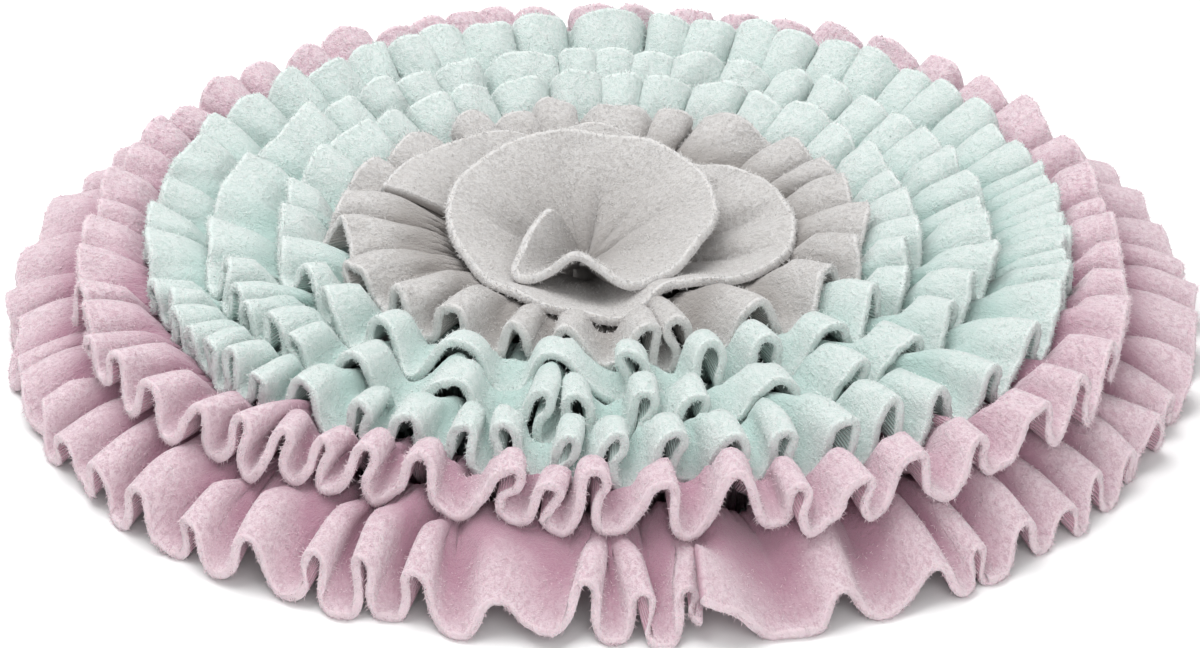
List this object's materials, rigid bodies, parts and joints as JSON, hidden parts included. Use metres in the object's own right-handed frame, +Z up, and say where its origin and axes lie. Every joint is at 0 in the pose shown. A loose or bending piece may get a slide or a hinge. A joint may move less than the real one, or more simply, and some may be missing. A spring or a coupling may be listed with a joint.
{
  "type": "snuffle mat",
  "caption": "Round snuffle mat of gathered fleece frills in rings of pink, mint and grey around a spiral rosette, in whose folds dry treats are hidden.",
  "frame": {"origin": "middle of the base cloth's underside, where the mat rests on the floor", "axes": "+Z up out of the mat; -Y towards the side where the outer pink frill's ends meet; +X to the right seen from there"},
  "size_m": [0.3876, 0.3873, 0.0457],
  "materials": {
    "base_cloth": "plain flat fleece, matte",
    "pink_fleece": "brushed anti-pill fleece, soft pile, dusty pink",
    "mint_fleece": "brushed anti-pill fleece, soft pile, pale mint",
    "grey_fleece": "brushed anti-pill fleece, soft pile, warm light grey"
  },
  "bodies": {
    "root": {"base_cloth": "base_cloth", "frill_pink_outer": "pink_fleece", "frill_pink_inner": "pink_fleece", "frill_mint_outer": "mint_fleece", "frill_mint_middle": "mint_fleece", "frill_mint_inner": "mint_fleece", "frill_grey_outer": "grey_fleece", "rosette_grey": "grey_fleece"}
  },
  "joints": []
}
